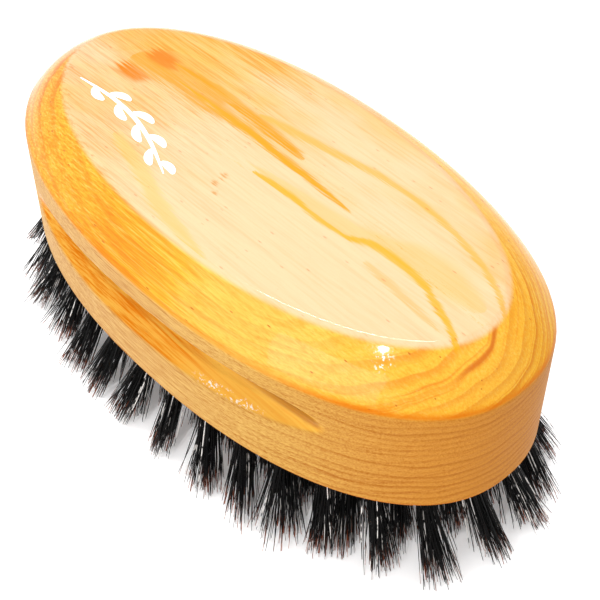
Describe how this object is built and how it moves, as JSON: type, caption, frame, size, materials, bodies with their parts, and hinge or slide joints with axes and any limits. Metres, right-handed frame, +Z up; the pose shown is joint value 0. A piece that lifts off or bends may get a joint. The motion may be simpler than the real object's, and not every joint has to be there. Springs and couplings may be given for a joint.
{
  "type": "beard brush",
  "caption": "Oval palm-held beard brush: lacquered wooden grip with a flat top and side finger grooves, and dark bristle tufts wedged into its underside.",
  "frame": {"origin": "centre of the brush's outline, in the plane of the bristle tips that it stands on", "axes": "+X along the length of the oval, +Y across it, +Z up through the flat top"},
  "size_m": [0.1272, 0.0668, 0.0495],
  "materials": {
    "lacquered_pine": "amber gloss lacquer over pine, satin on the side wall",
    "bristle": "black natural bristle with rusty brown tips",
    "anchor_wire": "plain drawn flat wire",
    "white_paint": "hand-painted white enamel"
  },
  "bodies": {
    "root": {"grip": "lacquered_pine", "tuft_row_1": "bristle", "tuft_row_2": "bristle", "tuft_row_3": "bristle", "tuft_row_4": "bristle", "tuft_row_5": "bristle", "tuft_row_6": "bristle", "tuft_row_7": "bristle", "tuft_row_8": "bristle", "tuft_row_9": "bristle", "tuft_row_10": "bristle", "anchor_row_1": "anchor_wire", "anchor_row_2": "anchor_wire", "anchor_row_3": "anchor_wire", "anchor_row_4": "anchor_wire", "anchor_row_5": "anchor_wire", "anchor_row_6": "anchor_wire", "anchor_row_7": "anchor_wire", "anchor_row_8": "anchor_wire", "anchor_row_9": "anchor_wire", "anchor_row_10": "anchor_wire"}
  },
  "joints": []
}
